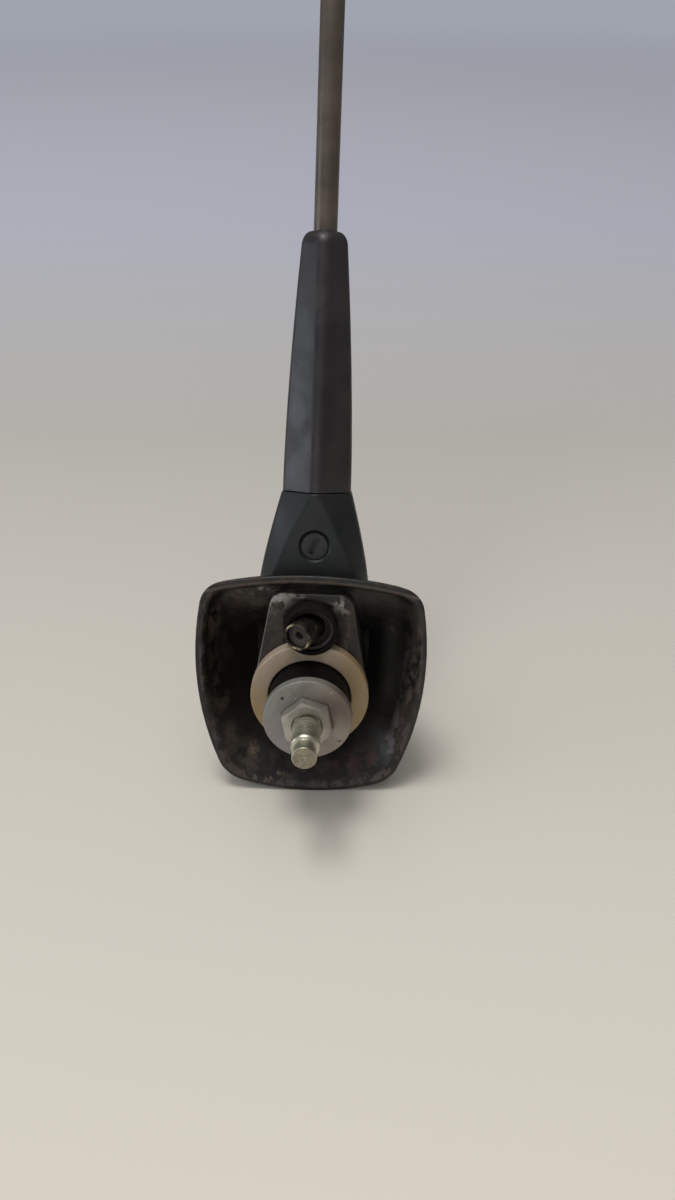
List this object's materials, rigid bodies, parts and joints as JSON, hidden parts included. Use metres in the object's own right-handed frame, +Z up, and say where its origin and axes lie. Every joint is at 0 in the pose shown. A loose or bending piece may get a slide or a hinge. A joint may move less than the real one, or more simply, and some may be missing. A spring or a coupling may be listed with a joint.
{
  "type": "car antenna",
  "caption": "Folding roof antenna: a hollow moulded base with a threaded roof stud and a coaxial socket underneath, and a slim mast on a hinged, faceted foot.",
  "frame": {"origin": "stud axis at the plane of the base's rim, where the base is fixed to the roof", "axes": "+Z up from the roof, against the stud; +Y towards the wide rear edge and the mast"},
  "size_m": [0.051, 0.3214, 0.109],
  "materials": {
    "base_housing": "mould grain, scuffed",
    "insulating_ring": "satin, yellowed",
    "locating_hub": "matte",
    "clamp_cup": "dull zinc",
    "roof_stud": "zinc plated",
    "stud_nut": "dull zinc",
    "socket_collar": "matte",
    "socket_sleeve": "satin",
    "socket_insulator": "matte",
    "socket_barrel": "tarnished",
    "barrel_core": "satin",
    "socket_pin": "polished",
    "contact_strap": "satin",
    "pivot_block": "satin",
    "pivot_pin": "polished",
    "friction_washer_left": "satin",
    "friction_washer_right": "satin",
    "mast_foot": "satin",
    "foot_insert": "turned",
    "lock_screw": "blackened",
    "contact_ball": "polished",
    "contact_spring": "satin",
    "mast_ferrule": "turned",
    "mast_grip": "soft satin",
    "loading_coil": "enamelled wire",
    "mast_rod": "satin coat over glass fibre",
    "mast_tip": "satin"
  },
  "bodies": {
    "base": {"base_housing": "base_housing", "insulating_ring": "insulating_ring", "locating_hub": "locating_hub", "clamp_cup": "clamp_cup", "roof_stud": "roof_stud", "stud_nut": "stud_nut", "socket_collar": "socket_collar", "socket_sleeve": "socket_sleeve", "socket_insulator": "socket_insulator", "socket_barrel": "socket_barrel", "barrel_core": "barrel_core", "socket_pin": "socket_pin", "contact_strap": "contact_strap", "pivot_block": "pivot_block"},
    "mast": {"pivot_pin": "pivot_pin", "friction_washer_left": "friction_washer_left", "friction_washer_right": "friction_washer_right", "mast_foot": "mast_foot", "foot_insert": "foot_insert", "lock_screw": "lock_screw", "contact_ball": "contact_ball", "contact_spring": "contact_spring", "mast_ferrule": "mast_ferrule", "mast_grip": "mast_grip", "loading_coil": "loading_coil", "mast_rod": "mast_rod", "mast_tip": "mast_tip"}
  },
  "joints": [
    {"name": "mast_fold", "type": "hinge", "parent": "base", "child": "mast", "pos_m": [0, 0.022, 0.01367], "axis": [1, 0, 0], "range_deg": [0, 66]}
  ]
}
